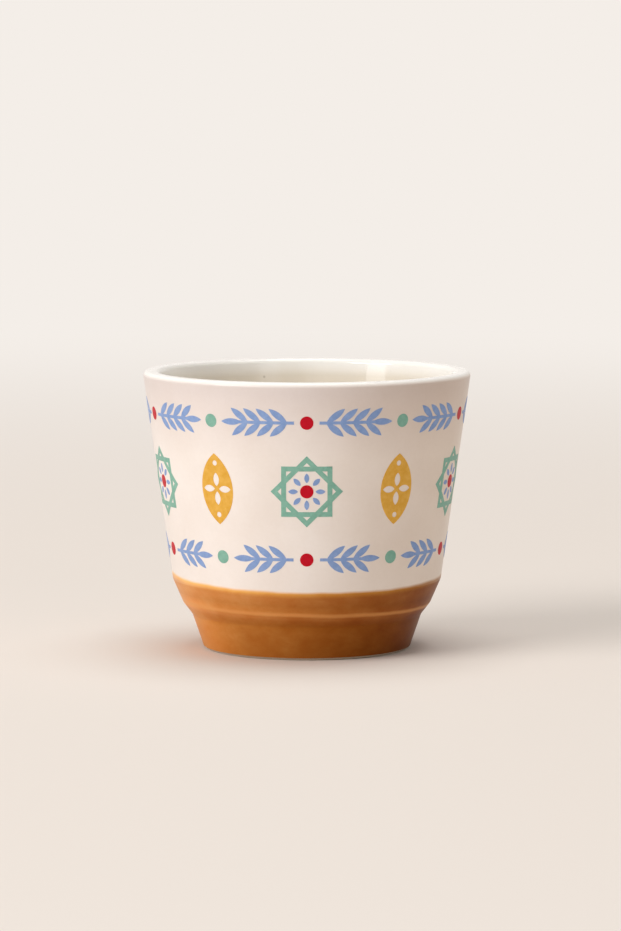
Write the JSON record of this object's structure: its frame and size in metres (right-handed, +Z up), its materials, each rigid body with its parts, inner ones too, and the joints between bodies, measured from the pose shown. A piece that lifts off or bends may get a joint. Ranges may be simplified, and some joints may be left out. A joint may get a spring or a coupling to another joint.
{
  "type": "arabic coffee cup",
  "caption": "Small handleless coffee cup with a leaning wall, a rounded lip, a stepped glazed base on a bare clay ring, and a printed frieze of stars and leaves.",
  "frame": {"origin": "centre of the foot ring in the plane that the cup stands on", "axes": "+Z up along the axis of the cup, -Y towards the viewer of the picture, +X to that viewer's right"},
  "size_m": [0.065, 0.065, 0.0554],
  "materials": {
    "fired_clay": "bare fired clay, matte and slightly grainy",
    "liner_glaze": "glossy cream white glaze",
    "cream_glaze": "glossy cream glaze",
    "ochre_glaze": "glossy ochre glaze, lighter where it thins over edges",
    "well_glaze": "glossy cream glaze",
    "green_enamel": "printed enamel, satin gloss",
    "gold_enamel": "printed enamel, satin gloss",
    "blue_enamel": "printed enamel, satin gloss",
    "red_enamel": "printed enamel, satin gloss"
  },
  "bodies": {
    "root": {"clay_body": "fired_clay", "inner_glaze": "liner_glaze", "outer_glaze": "cream_glaze", "base_glaze": "ochre_glaze", "foot_well_glaze": "well_glaze", "green_print": "green_enamel", "gold_print": "gold_enamel", "blue_print": "blue_enamel", "red_print": "red_enamel"}
  },
  "joints": []
}
